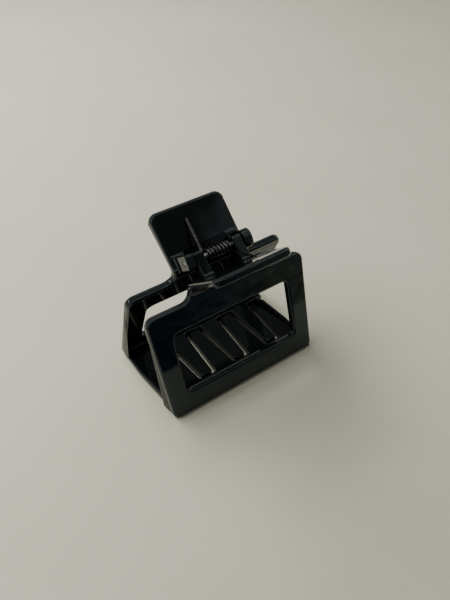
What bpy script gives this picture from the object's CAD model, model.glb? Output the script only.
"""Looks of the claw clip: fine jaws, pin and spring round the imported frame, in a soft studio."""

from math import asin, atan2, cos, hypot, pi, radians, sin, tan

import bmesh
import bpy
from mathutils import Matrix, Vector

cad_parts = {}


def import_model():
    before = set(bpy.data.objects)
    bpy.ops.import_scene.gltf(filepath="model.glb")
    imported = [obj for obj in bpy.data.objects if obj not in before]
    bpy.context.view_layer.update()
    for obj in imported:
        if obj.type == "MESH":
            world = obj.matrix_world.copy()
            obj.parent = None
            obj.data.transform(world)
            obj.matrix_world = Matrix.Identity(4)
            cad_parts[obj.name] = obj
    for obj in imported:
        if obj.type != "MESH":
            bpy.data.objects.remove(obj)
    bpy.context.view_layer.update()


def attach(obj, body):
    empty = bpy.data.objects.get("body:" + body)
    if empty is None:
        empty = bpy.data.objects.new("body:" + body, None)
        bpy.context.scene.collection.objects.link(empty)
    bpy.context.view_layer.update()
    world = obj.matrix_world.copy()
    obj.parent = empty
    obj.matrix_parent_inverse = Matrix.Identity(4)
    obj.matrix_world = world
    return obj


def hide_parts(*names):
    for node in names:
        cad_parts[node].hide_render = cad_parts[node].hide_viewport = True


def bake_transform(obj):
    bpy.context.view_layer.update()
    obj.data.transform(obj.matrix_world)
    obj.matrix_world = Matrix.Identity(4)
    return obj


MM = 0.001

# jaw plate, given on the rear jaw, in the part's own dimensions
PLATE = 3.3 * MM
CREASE_Y = 21.9 * MM
FACE_LEAN = radians(19.3)
TAB_LEAN = radians(49.6)
SHOULDER_UP = 43.7 * MM
WAIST_UP = 46.8 * MM
TAB_LENGTH = 22.1 * MM
WAIST_ROUND = 3.0 * MM
WAIST_BACK_ROUND = 4.0 * MM
CREASE_ROUND = 1.5 * MM
BASE_HALF = 33.25 * MM
SHOULDER_HALF = 35.15 * MM
NECK_HALF = 15.55 * MM
NECK_WIDENING = 0.036
TAB_HALF = 16.1 * MM
BASE_ROUND = 4.0 * MM
SHOULDER_ROUND = 3.6 * MM
NECK_FILLET = 4.0 * MM
TAB_ROUND = 3.5 * MM
WINDOW_HALF = 25.8 * MM
WINDOW_LOW = 9.6 * MM
WINDOW_HIGH = 34.0 * MM
WINDOW_ROUND = 2.5 * MM

# teeth: places across the clip, which the two jaws take by turns
PLACES = 8
PITCH = 8.1 * MM
TOOTH_HALF = 3.25 * MM
TOOTH_TAPER = 0.075
TIP_Y = -11.3 * MM
ROOT_Y = 12.0 * MM
TIP_ROUND = 1.1 * MM
ROOT_ROUND = 0.9 * MM
END_TOOTH_HALF = 32.5 * MM
END_TIP_ROUND = 2.2 * MM
END_ROOT_HALF = 34.5 * MM
END_ROOT_Y = 17.0 * MM

# hinge
LUG_LEAN = radians(39.5)
LUG_SUNK = 0.6 * PLATE             # how deep a lug's root is set in the tab
PIVOT_Z = 52.0 * MM
PIN_R = 1.0 * MM
PIN_HOLE_R = 1.08 * MM
PIN_HALF = 13.9 * MM
PIN_EDGE = 0.25 * MM
# each lug: its two sides along X, half width, reach past the pin, rounding of its end
REAR_LUGS = (
    (-14.0 * MM, -10.5 * MM, 2.8 * MM, 2.4 * MM, 0.9 * MM),
    (10.5 * MM, 14.0 * MM, 3.6 * MM, 3.0 * MM, 2.9 * MM),
)
FRONT_LUGS = (
    (-10.2 * MM, -6.4 * MM, 2.3 * MM, 2.4 * MM, 1.2 * MM),
    (6.4 * MM, 10.2 * MM, 2.3 * MM, 2.4 * MM, 1.2 * MM),
)

# spring
WIRE_R = 0.5 * MM
COIL_R = 1.8 * MM
COIL_HALF = 4.85 * MM
TURNS = 7
POINTS_PER_TURN = 28
LEG_UP = 15.5 * MM
REAR_LEG_IN = 2.0 * MM
LEG_GAP = 0.3 * MM

# roundings of the mouldings' edges, and where an edge counts as a lug's or a tooth's
FRAME_EDGE = 1.15 * MM
TOOTH_EDGE = 0.5 * MM
LUG_EDGE = 0.4 * MM
EDGE_SEGMENTS = 5
LUGS_ABOVE = 40.0 * MM
LUGS_WITHIN = 14.1 * MM
TEETH_WITHIN = 31.0 * MM
NEAR = 0.1 * MM

# mesh work: arcs, cleaning, and angles between faces
ARC_STEPS = 10
BAR_SIDES = 48
WELD = 1e-4 * MM
SLIVER = 0.05 * MM
FLAT_BELOW = radians(0.5)
ROUNDED_ABOVE = radians(40)
SHARP_ABOVE = radians(50)

# how far forms run on past what they cut
CUT_SPAN = 200 * MM
WINDOW_CUT = 30 * MM
COMB_CUT = 10 * MM
BASE_SPARE = 0.2 * MM
FLOOR_SPARE = 1 * MM
COMB_SPARE = 4 * MM

# camera: where it stands, and how it is turned
CAMERA_AT = Vector((-97.66, -137.09, 185.73)) * MM
CAMERA_HEADING = radians(36.53)    # to the right of +Y
CAMERA_DOWN = radians(43.21)
CAMERA_ROLL = radians(-1.26)
CAMERA_LENS = 36.0

# light: even fill for matt surfaces, and bright patches (direction, inner and outer angle in
# degrees, colour) that only reflections see
WORLD_FILL = (0.42, 0.415, 0.40)
WORLD_LIGHTS = (
    ((-0.75, 0.35, 0.55), 6, 18, (1.1, 1.1, 1.05)),
    ((0.60, -0.50, 0.65), 9.6, 11.0, (0.24, 0.24, 0.24)),
    ((-0.35, -0.25, 0.90), 1.5, 3.0, (14.0, 14.0, 13.5)),
)
# tubes of light parallel to X, which draw thin lines along the edges: (tilt, half width, colour)
WORLD_STRIPS = (
    (-45.0, 1.0, (6.0, 6.0, 5.8)),
    (-14.0, 1.0, (8.0, 8.0, 7.8)),
    (22.0, 1.5, (8.0, 8.0, 7.8)),
)
# what reflections see of the room behind and in front, by height: (sine of elevation, colour)
ROOM_BACK = [(0.0, (0.50, 0.49, 0.46)), (0.22, (0.42, 0.41, 0.39)), (0.42, (0.10, 0.10, 0.095)),
             (0.80, (0.10, 0.10, 0.09)), (0.95, (0.34, 0.33, 0.32))]
ROOM_FRONT = [(0.0, (0.12, 0.15, 0.18)), (0.45, (0.21, 0.23, 0.25)), (0.62, (0.10, 0.098, 0.094)),
              (0.80, (0.09, 0.088, 0.084)), (0.95, (0.32, 0.31, 0.30))]
ROOM_TURN = (-0.2, 0.3)            # where the front gives way to the back, as the direction's Y

# dark card before the clip, which only reflections see
CARD_SIZE = (0.36, 0.11)
CARD_AT = (0.09, -0.096, 0.055)
CARD_FADE = (-0.26, 0.0)           # where its colour changes; its ends are at -0.5 and 0.5
# dark shape of whoever takes the picture, which only shades the near table
VIEWER_SIZE = (0.30, 0.16)
VIEWER_AT = (-0.04, -0.13, 0.095)

# lamps that reflections don't see: place, what they point at, size, power in watts
LAMPS = {
    "window_light": ((-0.12, 0.46, 0.46), (0, 0, 0), (0.5, 0.3), 4.7),
    "side_light": ((-0.60, 0.22, 0.42), (0, 0.1, 0), (0.5, 0.5), 3.8),
}
LAMP_COLOUR = (1.0, 0.985, 0.95)


# ---------------------------------------------------------------- node helpers

def new_material(name):
    """A node material, with its tree and its Principled BSDF."""
    material = bpy.data.materials.new(name)
    material.use_nodes = True
    tree = material.node_tree
    return material, tree, tree.nodes["Principled BSDF"]


def node(tree, kind, **settings):
    """A new node, with its settings."""
    made = tree.nodes.new(kind)
    for key, value in settings.items():
        setattr(made, key, value)
    return made


def noise(tree, scale, detail=2.0, roughness=0.5):
    """Noise on object coordinates; scale is in cells per metre, where the object isn't scaled."""
    place = node(tree, "ShaderNodeTexCoord")
    made = node(tree, "ShaderNodeTexNoise")
    made.inputs["Scale"].default_value = scale
    made.inputs["Detail"].default_value = detail
    made.inputs["Roughness"].default_value = roughness
    tree.links.new(place.outputs["Object"], made.inputs["Vector"])
    return made


def ramp(tree, source, stops):
    """Colour ramp on a factor; stops are (position, colour)."""
    made = node(tree, "ShaderNodeValToRGB")
    elements = made.color_ramp.elements
    while len(elements) < len(stops):
        elements.new(0.5)
    for element, (position, colour) in zip(elements, stops):
        element.position = position
        element.color = (*colour, 1.0)
    tree.links.new(source, made.inputs["Fac"])
    return made


def spread(tree, source, low, high):
    """Noise, which mostly lies between 0.3 and 0.7, stretched to between low and high."""
    made = node(tree, "ShaderNodeMapRange")
    made.inputs["From Min"].default_value = 0.3
    made.inputs["From Max"].default_value = 0.7
    made.inputs["To Min"].default_value = low
    made.inputs["To Max"].default_value = high
    tree.links.new(source, made.inputs["Value"])
    return made


def bump(tree, height, distance, below=None):
    """Bump of a height map, on top of the bump `below`."""
    made = node(tree, "ShaderNodeBump")
    made.inputs["Strength"].default_value = 1.0
    made.inputs["Distance"].default_value = distance
    tree.links.new(height, made.inputs["Height"])
    if below:
        tree.links.new(below.outputs["Normal"], made.inputs["Normal"])
    return made


# ---------------------------------------------------------------- materials

def black_plastic():
    """Polished black moulding: slow waviness of the mould, fine dust and faint handling haze."""
    material, tree, shader = new_material("glossy_black_moulding")
    tone = ramp(tree, noise(tree, 60.0, 3.0).outputs["Fac"],
                [(0.30, (0.0022, 0.0028, 0.0030)), (0.70, (0.0036, 0.0044, 0.0046))])
    tree.links.new(tone.outputs["Color"], shader.inputs["Base Color"])
    haze = spread(tree, noise(tree, 140.0, 6.0, 0.62).outputs["Fac"], 0.03, 0.065)
    tree.links.new(haze.outputs["Result"], shader.inputs["Roughness"])
    shader.inputs["IOR"].default_value = 1.52
    shader.inputs["Specular Tint"].default_value = (0.80, 0.97, 1.0, 1.0)
    swell = bump(tree, noise(tree, 55.0, 1.0).outputs["Fac"], 0.00025)
    grain = bump(tree, noise(tree, 2600.0, 2.0).outputs["Fac"], 0.000004, swell)
    tree.links.new(grain.outputs["Normal"], shader.inputs["Normal"])
    return material


def drawn_steel(name, dark, light, rough_low, rough_high):
    """Drawn wire: patchy tone with fine scoring."""
    material, tree, shader = new_material(name)
    tone = ramp(tree, noise(tree, 900.0, 4.0).outputs["Fac"], [(0.3, dark), (0.7, light)])
    tree.links.new(tone.outputs["Color"], shader.inputs["Base Color"])
    shader.inputs["Metallic"].default_value = 1.0
    rough = spread(tree, noise(tree, 1500.0, 3.0).outputs["Fac"], rough_low, rough_high)
    tree.links.new(rough.outputs["Result"], shader.inputs["Roughness"])
    scoring = bump(tree, noise(tree, 5200.0, 3.0).outputs["Fac"], 0.00002)
    tree.links.new(scoring.outputs["Normal"], shader.inputs["Normal"])
    return material


# ---------------------------------------------------------------- outlines

def rounded(corners):
    """Outline through corners (x, y, radius), each turned into an arc of its radius."""
    points = []
    for i, (x, y, radius) in enumerate(corners):
        here = Vector((x, y))
        back = Vector(corners[i - 1][:2]) - here
        ahead = Vector(corners[(i + 1) % len(corners)][:2]) - here
        if radius <= 0:
            points.append(here)
            continue
        turn = back.angle(ahead)
        reach = radius / tan(turn / 2)
        centre = here + (back.normalized() + ahead.normalized()).normalized() * radius / sin(turn / 2)
        start = here + back.normalized() * reach - centre
        sweep = start.angle_signed(here + ahead.normalized() * reach - centre)
        for step in range(ARC_STEPS + 1):
            arm = start.copy()
            arm.rotate(Matrix.Rotation(-sweep * step / ARC_STEPS, 2))
            points.append(centre + arm)
    return points


def meet(point_a, way_a, point_b, way_b):
    """Crossing of two lines in the (y, z) plane."""
    cross = way_a.x * way_b.y - way_a.y * way_b.x
    gap = point_b - point_a
    return point_a + way_a * ((gap.x * way_b.y - gap.y * way_b.x) / cross)


FACE_UP = Vector((-sin(FACE_LEAN), cos(FACE_LEAN)))      # up the frame, in (y, z)
FACE_OUT = Vector((cos(FACE_LEAN), sin(FACE_LEAN)))
TAB_UP = Vector((sin(TAB_LEAN), cos(TAB_LEAN)))          # up the tab, in (y, z)
TAB_OUT = Vector((cos(TAB_LEAN), -sin(TAB_LEAN)))
CREASE = Vector((CREASE_Y, 0))
WAIST = CREASE + FACE_UP * WAIST_UP
TIP = WAIST + TAB_UP * TAB_LENGTH
LUG_UP = Vector((sin(LUG_LEAN), cos(LUG_LEAN)))          # up a lug's end face, in (y, z)
LUG_OUT = Vector((cos(LUG_LEAN), -sin(LUG_LEAN)))
PIVOT = Vector((0, PIVOT_Z))
TAB_BACK = TAB_OUT.dot(TIP - PIVOT) - PLATE              # from the pin to the tab's inner face


def plate_outline():
    """The rear jaw's bent plate in (y, z): tab, frame and floor."""
    tip_in = TIP - TAB_OUT * PLATE
    frame_in = CREASE - FACE_OUT * PLATE
    waist_in = meet(tip_in, TAB_UP, frame_in, FACE_UP)
    crease_in = meet(frame_in, FACE_UP, Vector((0, PLATE)), Vector((1, 0)))
    floor_end = TIP_Y - FLOOR_SPARE
    return rounded([
        (*TIP, 0), (*WAIST, WAIST_ROUND), (*CREASE, CREASE_ROUND),
        (floor_end, 0, 0), (floor_end, PLATE, 0),
        (*crease_in, 0), (*waist_in, WAIST_BACK_ROUND), (*tip_in, 0)])


def mirrored(half):
    """Corners of an outline that is the same left and right, from its right half."""
    return half + [(-x, y, radius) for x, y, radius in reversed(half)]


def frame_outline():
    """The jaw seen square to its frame; the neck widens and runs on past the tab's tip."""
    neck_above = NECK_HALF + NECK_WIDENING * SHOULDER_UP
    return rounded(mirrored([
        (BASE_HALF, -BASE_SPARE, BASE_ROUND), (SHOULDER_HALF, SHOULDER_UP, SHOULDER_ROUND),
        (NECK_HALF, SHOULDER_UP, NECK_FILLET), (neck_above, 2 * SHOULDER_UP, 0)]))


def window_outline():
    """The opening in the frame."""
    return rounded(mirrored([
        (WINDOW_HALF, WINDOW_LOW, WINDOW_ROUND), (WINDOW_HALF, WINDOW_HIGH, WINDOW_ROUND)]))


def tab_outline():
    """The jaw seen square to its tab: anything below the waist, then the tab's round corners."""
    waist = TAB_UP.dot(WAIST)
    wide = 2 * SHOULDER_HALF
    return rounded(mirrored([
        (wide, -wide, 0), (wide, waist, 0), (TAB_HALF, waist, 0), (TAB_HALF, TAB_UP.dot(TIP), TAB_ROUND)]))


def comb_outline():
    """All that is cut away around the rear jaw's teeth, seen from above."""
    far = 2 * SHOULDER_HALF
    beyond = TIP_Y - COMB_SPARE
    corners = [(-far, beyond, 0), (far, beyond, 0), (far, ROOT_Y, 0)]
    for place in range(PLACES - 2, -1, -2):
        middle = (place - (PLACES - 1) / 2) * PITCH
        root = TOOTH_HALF + TOOTH_TAPER * ROOT_Y
        tip = TOOTH_HALF + TOOTH_TAPER * TIP_Y
        corners += [(middle + root, ROOT_Y, ROOT_ROUND), (middle + tip, TIP_Y, TIP_ROUND)]
        if place:
            corners += [(middle - tip, TIP_Y, TIP_ROUND), (middle - root, ROOT_Y, ROOT_ROUND)]
    corners += [(-END_TOOTH_HALF, TIP_Y, END_TIP_ROUND), (-END_ROOT_HALF, END_ROOT_Y, 0),
                (-far, END_ROOT_Y, 0)]
    return rounded(corners)


def lug_outline(half, reach, end_round):
    """A lug rooted in the rear tab and reaching past the pin, in (y, z)."""
    root = PIVOT + LUG_OUT * (TAB_BACK + LUG_SUNK)
    end = PIVOT - LUG_OUT * reach
    return rounded([
        (*(root + LUG_UP * half), 0), (*(root - LUG_UP * half), 0),
        (*(end - LUG_UP * half), end_round), (*(end + LUG_UP * half), end_round)])


# ---------------------------------------------------------------- solids

# plane of the plate's profile: X across it is the part's Y, and Y up it is the part's Z
PROFILE_PLACE = Matrix(((0, 0, 1, 0), (1, 0, 0, 0), (0, 1, 0, 0), (0, 0, 0, 1)))


def face_place():
    """Plane of the frame: X across, Y up the frame from the crease."""
    return Matrix(((1, 0, 0, 0), (0, -sin(FACE_LEAN), -cos(FACE_LEAN), CREASE_Y),
                   (0, cos(FACE_LEAN), -sin(FACE_LEAN), 0), (0, 0, 0, 1)))


def tab_place():
    """Plane of the tab through the origin: X across, Y up the tab."""
    return Matrix(((1, 0, 0, 0), (0, sin(TAB_LEAN), -cos(TAB_LEAN), 0),
                   (0, cos(TAB_LEAN), sin(TAB_LEAN), 0), (0, 0, 0, 1)))


def link(name, data):
    """A new object in the scene."""
    obj = bpy.data.objects.new(name, data)
    bpy.context.scene.collection.objects.link(obj)
    return obj


def evaluated_mesh(obj):
    """The object's mesh with its modifiers applied, in world space."""
    bpy.context.view_layer.update()
    mesh = bpy.data.meshes.new_from_object(obj.evaluated_get(bpy.context.evaluated_depsgraph_get()))
    mesh.transform(obj.matrix_world)
    return mesh


def edit(mesh, change):
    """Run `change` on the mesh as a bmesh."""
    work = bmesh.new()
    work.from_mesh(mesh)
    change(work)
    work.to_mesh(mesh)
    work.free()


def weld(work):
    """Join what meets, and turn the faces outward."""
    bmesh.ops.remove_doubles(work, verts=work.verts, dist=WELD)
    bmesh.ops.recalc_face_normals(work, faces=work.faces)


def slab(name, outline, depth, place):
    """Solid of a flat outline, `depth` thick about its plane, put where `place` says."""
    curve = bpy.data.curves.new(name, "CURVE")
    curve.dimensions = "2D"
    curve.fill_mode = "BOTH"
    curve.extrude = depth / 2
    spline = curve.splines.new("POLY")
    spline.points.add(len(outline) - 1)
    for point, (x, y) in zip(spline.points, outline):
        point.co = (x, y, 0, 1)
    spline.use_cyclic_u = True
    source = link(name + "_outline", curve)
    source.matrix_world = place
    mesh = evaluated_mesh(source)
    edit(mesh, weld)
    bpy.data.objects.remove(source)
    return link(name, mesh)


def bar(name, radius, half_length, rounding=0.0):
    """Round bar about the hinge's axis, with its rims rounded."""
    mesh = bpy.data.meshes.new(name)
    place = Matrix.Translation((0, 0, PIVOT_Z)) @ Matrix.Rotation(pi / 2, 4, "Y")

    def make(work):
        bmesh.ops.create_cone(work, cap_ends=True, segments=BAR_SIDES, radius1=radius,
                              radius2=radius, depth=2 * half_length, matrix=place)
        if rounding:
            rims = [edge for edge in work.edges if edge.calc_face_angle() > ROUNDED_ABOVE]
            bmesh.ops.bevel(work, geom=rims, offset=rounding, segments=3, profile=0.5, affect="EDGES")

    edit(mesh, make)
    return link(name, mesh)


def cut(target, tools):
    """Apply booleans, given as (operation, tool), to the target, and remove the tools."""
    for operation, tool in tools:
        modifier = target.modifiers.new(tool.name, "BOOLEAN")
        modifier.operation = operation
        modifier.object = tool
        modifier.solver = "EXACT"
    mesh = evaluated_mesh(target)
    target.modifiers.clear()
    target.data = mesh
    for _, tool in tools:
        bpy.data.objects.remove(tool)


def edge_rounding(middle, side):
    """Rounding of a sharp edge, from where its middle lies; side turns it to the rear jaw."""
    y = side * middle.y
    out = TAB_OUT.dot(Vector((y, middle.z)) - PIVOT)
    if middle.z > LUGS_ABOVE and out < TAB_BACK - NEAR and abs(middle.x) < LUGS_WITHIN:
        return LUG_EDGE
    if middle.z < PLATE + NEAR and y < ROOT_Y + MM and abs(middle.x) < TEETH_WITHIN:
        return TOOTH_EDGE
    return FRAME_EDGE


def build_jaw(name, body, side, lugs, material):
    """One fine jaw: the rear jaw's shape, turned half round when side is -1."""
    turn = Matrix.Rotation(0 if side > 0 else pi, 4, "Z")
    jaw = slab(name, plate_outline(), 2 * SHOULDER_HALF, turn @ PROFILE_PLACE)
    tools = [
        ("INTERSECT", slab("frame_form", frame_outline(), CUT_SPAN, turn @ face_place())),
        ("INTERSECT", slab("tab_form", tab_outline(), CUT_SPAN, turn @ tab_place())),
        ("DIFFERENCE", slab("window_form", window_outline(), WINDOW_CUT, turn @ face_place())),
        ("DIFFERENCE", slab("comb_form", comb_outline(), COMB_CUT, turn)),
    ]
    for low, high, half, reach, end_round in lugs:
        middle = Matrix.Translation(((low + high) / 2, 0, 0))
        place = middle @ turn @ PROFILE_PLACE
        tools.append(("UNION", slab("lug_form", lug_outline(half, reach, end_round), high - low, place)))
    cut(jaw, tools)

    def tidy(work):
        bmesh.ops.remove_doubles(work, verts=work.verts, dist=SLIVER)
        bmesh.ops.dissolve_limit(work, angle_limit=FLAT_BELOW, verts=work.verts, edges=work.edges)
        weight = work.edges.layers.float.new("bevel_weight_edge")
        for edge in work.edges:
            if edge.calc_face_angle(0) > ROUNDED_ABOVE:
                middle = (edge.verts[0].co + edge.verts[1].co) / 2
                edge[weight] = edge_rounding(middle, side) / FRAME_EDGE

    edit(jaw.data, tidy)
    bevel = jaw.modifiers.new("Rounded edges", "BEVEL")
    bevel.width = FRAME_EDGE
    bevel.segments = EDGE_SEGMENTS
    bevel.limit_method = "WEIGHT"
    bevel.use_clamp_overlap = False
    cut(jaw, [("DIFFERENCE", bar("pin_hole", PIN_HOLE_R, 2 * PIN_HALF))])
    jaw.data.shade_smooth()
    jaw.data.set_sharp_from_angle(angle=SHARP_ABOVE)
    even = jaw.modifiers.new("Even normals", "WEIGHTED_NORMAL")
    even.keep_sharp = True
    jaw.data.materials.append(material)
    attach(jaw, body)
    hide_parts(name.removesuffix("_moulding"))


# ---------------------------------------------------------------- spring and pin

def spring_path():
    """Centre line of the spring: rear leg, coil from left to right, front leg."""
    end = TAB_OUT * (TAB_BACK - WIRE_R - LEG_GAP) + TAB_UP * LEG_UP
    # each leg touches the coil, so it leaves square to the radius there
    leave = atan2(end.y, end.x) - (pi / 2 - asin(COIL_R / hypot(*end)))
    sweep = pi - 2 * leave + TURNS * 2 * pi
    while sweep > TURNS * 2 * pi:
        sweep -= 2 * pi
    count = TURNS * POINTS_PER_TURN
    middle = Vector((0, 0, PIVOT_Z))
    path = [middle + Vector((REAR_LEG_IN - COIL_HALF, end.x, end.y))]
    for i in range(count + 1):
        angle = leave + sweep * i / count
        x = -COIL_HALF + 2 * COIL_HALF * i / count
        path.append(middle + Vector((x, COIL_R * cos(angle), COIL_R * sin(angle))))
    path.append(middle + Vector((COIL_HALF, -end.x, end.y)))
    return path


def build_spring(material):
    """The spring's wire; its turns are shared out between the two jaws along the coil."""
    curve = bpy.data.curves.new("spring_wire", "CURVE")
    curve.dimensions = "3D"
    curve.bevel_depth = WIRE_R
    curve.bevel_resolution = 6
    curve.use_fill_caps = True
    path = spring_path()
    spline = curve.splines.new("POLY")
    spline.points.add(len(path) - 1)
    for point, place in zip(spline.points, path):
        point.co = (*place, 1)
    source = link("spring_source", curve)
    mesh = evaluated_mesh(source)
    bpy.data.objects.remove(source)
    edit(mesh, weld)
    spring = link("spring_wire", mesh)
    mesh.materials.clear()
    mesh.materials.append(material)
    mesh.shade_smooth()
    mesh.set_sharp_from_angle(angle=SHARP_ABOVE)
    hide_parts("torsion_spring")
    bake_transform(spring)


def build_pin(material):
    """The pin, held by the rear jaw's lugs."""
    pin = bar("pin_rod", PIN_R, PIN_HALF, PIN_EDGE)
    pin.data.materials.append(material)
    pin.data.shade_smooth()
    pin.data.set_sharp_from_angle(angle=ROUNDED_ABOVE)
    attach(pin, "rear_jaw")
    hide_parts("hinge_pin")


# ---------------------------------------------------------------- studio

def build_camera():
    """The camera, from where it stands and how it is turned."""
    heading = Vector((sin(CAMERA_HEADING) * cos(CAMERA_DOWN), cos(CAMERA_HEADING) * cos(CAMERA_DOWN),
                      -sin(CAMERA_DOWN)))
    camera = bpy.data.cameras.new("camera")
    camera.sensor_fit = "AUTO"
    camera.sensor_width = 36.0
    camera.lens = CAMERA_LENS
    camera.clip_start = 0.005
    camera.clip_end = 20.0
    holder = link("camera", camera)
    turn = heading.to_track_quat("-Z", "Y").to_matrix().to_4x4() @ Matrix.Rotation(-CAMERA_ROLL, 4, "Z")
    holder.matrix_world = Matrix.Translation(CAMERA_AT) @ turn
    bpy.context.scene.camera = holder


def build_table():
    """The pale table."""
    material, tree, shader = new_material("pale_table")
    tone = ramp(tree, noise(tree, 14.0, 4.0).outputs["Fac"],
                [(0.3, (0.55, 0.535, 0.435)), (0.7, (0.585, 0.57, 0.465))])
    tree.links.new(tone.outputs["Color"], shader.inputs["Base Color"])
    shader.inputs["Roughness"].default_value = 0.5
    mesh = bpy.data.meshes.new("table")
    edit(mesh, lambda work: bmesh.ops.create_grid(work, x_segments=1, y_segments=1, size=3.0))
    table = link("table", mesh)
    mesh.materials.append(material)


def sheet(name, material, size, place, turn, unseen_by):
    """Flat piece of the studio that some kinds of ray don't meet."""
    mesh = bpy.data.meshes.new(name)
    edit(mesh, lambda work: bmesh.ops.create_grid(work, x_segments=1, y_segments=1, size=0.5))
    mesh.materials.append(material)
    piece = link(name, mesh)
    piece.scale = (*size, 1)
    piece.location = place
    piece.rotation_euler = turn
    for kind in unseen_by:
        setattr(piece, "visible_" + kind, False)


def build_card():
    """Dark card standing before the clip, so that the upper part of its face stays dark."""
    material = bpy.data.materials.new("dark_card")
    material.use_nodes = True
    tree = material.node_tree
    tree.nodes.clear()
    glow = node(tree, "ShaderNodeEmission")
    place = node(tree, "ShaderNodeTexCoord").outputs["Object"]
    split = node(tree, "ShaderNodeSeparateXYZ")
    tree.links.new(place, split.inputs["Vector"])
    across = node(tree, "ShaderNodeMapRange")
    across.inputs["From Min"].default_value, across.inputs["From Max"].default_value = CARD_FADE
    tree.links.new(split.outputs["X"], across.inputs["Value"])
    hue = ramp(tree, across.outputs["Result"],
               [(0.0, (0.035, 0.055, 0.09)), (0.35, (0.10, 0.13, 0.16)), (0.8, (0.25, 0.26, 0.20))])
    patches = spread(tree, noise(tree, 34.0, 3.0, 0.65).outputs["Fac"], 0.12, 1.7)
    tree.links.new(hue.outputs["Color"], glow.inputs["Color"])
    tree.links.new(patches.outputs["Result"], glow.inputs["Strength"])
    out = node(tree, "ShaderNodeOutputMaterial")
    tree.links.new(glow.outputs["Emission"], out.inputs["Surface"])
    sheet("dark_card", material, CARD_SIZE, CARD_AT, (pi / 2, 0, 0),
          ("camera", "diffuse", "transmission", "volume_scatter", "shadow"))


def build_viewer():
    """Matt dark shape over the near table, met only by the light that it keeps off the table."""
    material, tree, shader = new_material("dark_cloth")
    tone = ramp(tree, noise(tree, 80.0).outputs["Fac"],
                [(0.3, (0.010, 0.010, 0.010)), (0.7, (0.018, 0.018, 0.018))])
    tree.links.new(tone.outputs["Color"], shader.inputs["Base Color"])
    shader.inputs["Roughness"].default_value = 0.9
    sheet("viewer_shape", material, VIEWER_SIZE, VIEWER_AT,
          Vector(VIEWER_AT).to_track_quat("Z", "X").to_euler(),
          ("camera", "glossy", "transmission", "volume_scatter"))


def area_light(name, at, aim, size, power):
    """Rectangular lamp that shines on matt surfaces and stays out of reflections."""
    light = bpy.data.lights.new(name, "AREA")
    light.shape = "RECTANGLE"
    light.size, light.size_y = size
    light.energy = power
    light.color = LAMP_COLOUR
    holder = link(name, light)
    holder.location = at
    holder.rotation_euler = (Vector(aim) - Vector(at)).to_track_quat("-Z", "Y").to_euler()
    holder.visible_glossy = False


def lit(tree, factor, colour):
    """Black where the factor is 0, and `colour` where it is 1."""
    tint = node(tree, "ShaderNodeMix", data_type="RGBA")
    tint.inputs["A"].default_value = (0, 0, 0, 1)
    tint.inputs["B"].default_value = (*colour, 1)
    tree.links.new(factor, tint.inputs["Factor"])
    return tint.outputs["Result"]


def toward(tree, way, source, inner, outer, colour):
    """Soft round patch of light in the world, about the direction `way`; angles in degrees."""
    dot = node(tree, "ShaderNodeVectorMath", operation="DOT_PRODUCT")
    dot.inputs[1].default_value = Vector(way).normalized()
    tree.links.new(source, dot.inputs[0])
    fade = node(tree, "ShaderNodeMapRange", interpolation_type="SMOOTHSTEP")
    fade.inputs["From Min"].default_value = cos(radians(outer))
    fade.inputs["From Max"].default_value = cos(radians(inner))
    tree.links.new(dot.outputs["Value"], fade.inputs["Value"])
    return lit(tree, fade.outputs["Result"], colour)


def strip(tree, split, tilt, half_width, colour):
    """Tube of light in the world, parallel to X; tilt is its angle from straight up to the back."""
    angle = node(tree, "ShaderNodeMath", operation="ARCTAN2")
    tree.links.new(split.outputs["Y"], angle.inputs[0])
    tree.links.new(split.outputs["Z"], angle.inputs[1])
    near = node(tree, "ShaderNodeMath", operation="COMPARE")
    near.inputs[1].default_value = radians(tilt)
    near.inputs[2].default_value = radians(half_width)
    tree.links.new(angle.outputs["Value"], near.inputs[0])
    return lit(tree, near.outputs["Value"], colour)


def plus(tree, one, other):
    """Sum of two colours."""
    total = node(tree, "ShaderNodeMix", data_type="RGBA", blend_type="ADD")
    total.inputs["Factor"].default_value = 1.0
    tree.links.new(one, total.inputs["A"])
    tree.links.new(other, total.inputs["B"])
    return total.outputs["Result"]


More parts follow.
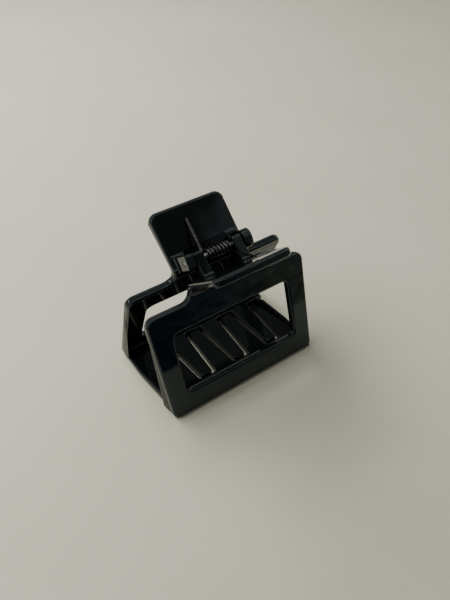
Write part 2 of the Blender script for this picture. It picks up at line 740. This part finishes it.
def build_light():
    """Even light and two lamps for the table; for reflections, a room with bright patches."""
    world = bpy.data.worlds.new("studio")
    bpy.context.scene.world = world
    world.use_nodes = True
    tree = world.node_tree
    background = tree.nodes["Background"]
    place = node(tree, "ShaderNodeTexCoord").outputs["Generated"]
    split = node(tree, "ShaderNodeSeparateXYZ")
    tree.links.new(place, split.inputs["Vector"])
    back = ramp(tree, split.outputs["Z"], ROOM_BACK)
    front = ramp(tree, split.outputs["Z"], ROOM_FRONT)
    depth = node(tree, "ShaderNodeMapRange", interpolation_type="SMOOTHSTEP")
    depth.inputs["From Min"].default_value, depth.inputs["From Max"].default_value = ROOM_TURN
    tree.links.new(split.outputs["Y"], depth.inputs["Value"])
    room = node(tree, "ShaderNodeMix", data_type="RGBA")
    tree.links.new(depth.outputs["Result"], room.inputs["Factor"])
    tree.links.new(front.outputs["Color"], room.inputs["A"])
    tree.links.new(back.outputs["Color"], room.inputs["B"])
    light = room.outputs["Result"]
    for way, inner, outer, colour in WORLD_LIGHTS:
        light = plus(tree, light, toward(tree, way, place, inner, outer, colour))
    for tilt, half_width, colour in WORLD_STRIPS:
        light = plus(tree, light, strip(tree, split, tilt, half_width, colour))
    path = node(tree, "ShaderNodeLightPath")
    choice = node(tree, "ShaderNodeMix", data_type="RGBA")
    choice.inputs["A"].default_value = (*WORLD_FILL, 1)
    tree.links.new(path.outputs["Is Glossy Ray"], choice.inputs["Factor"])
    tree.links.new(light, choice.inputs["B"])
    tree.links.new(choice.outputs["Result"], background.inputs["Color"])
    background.inputs["Strength"].default_value = 1.0
    for name, lamp in LAMPS.items():
        area_light(name, *lamp)


def main():
    """Build every fine piece and the studio."""
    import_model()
    black = black_plastic()
    wire = drawn_steel("spring_wire_steel", (0.05, 0.05, 0.048), (0.14, 0.135, 0.125), 0.14, 0.28)
    rod = drawn_steel("pin_rod_steel", (0.22, 0.22, 0.22), (0.36, 0.36, 0.36), 0.25, 0.4)
    build_camera()
    build_jaw("rear_jaw_moulding", "rear_jaw", 1, REAR_LUGS, black)
    build_jaw("front_jaw_moulding", "front_jaw", -1, FRONT_LUGS, black)
    build_spring(wire)
    build_pin(rod)
    build_table()
    build_card()
    build_viewer()
    build_light()


main()
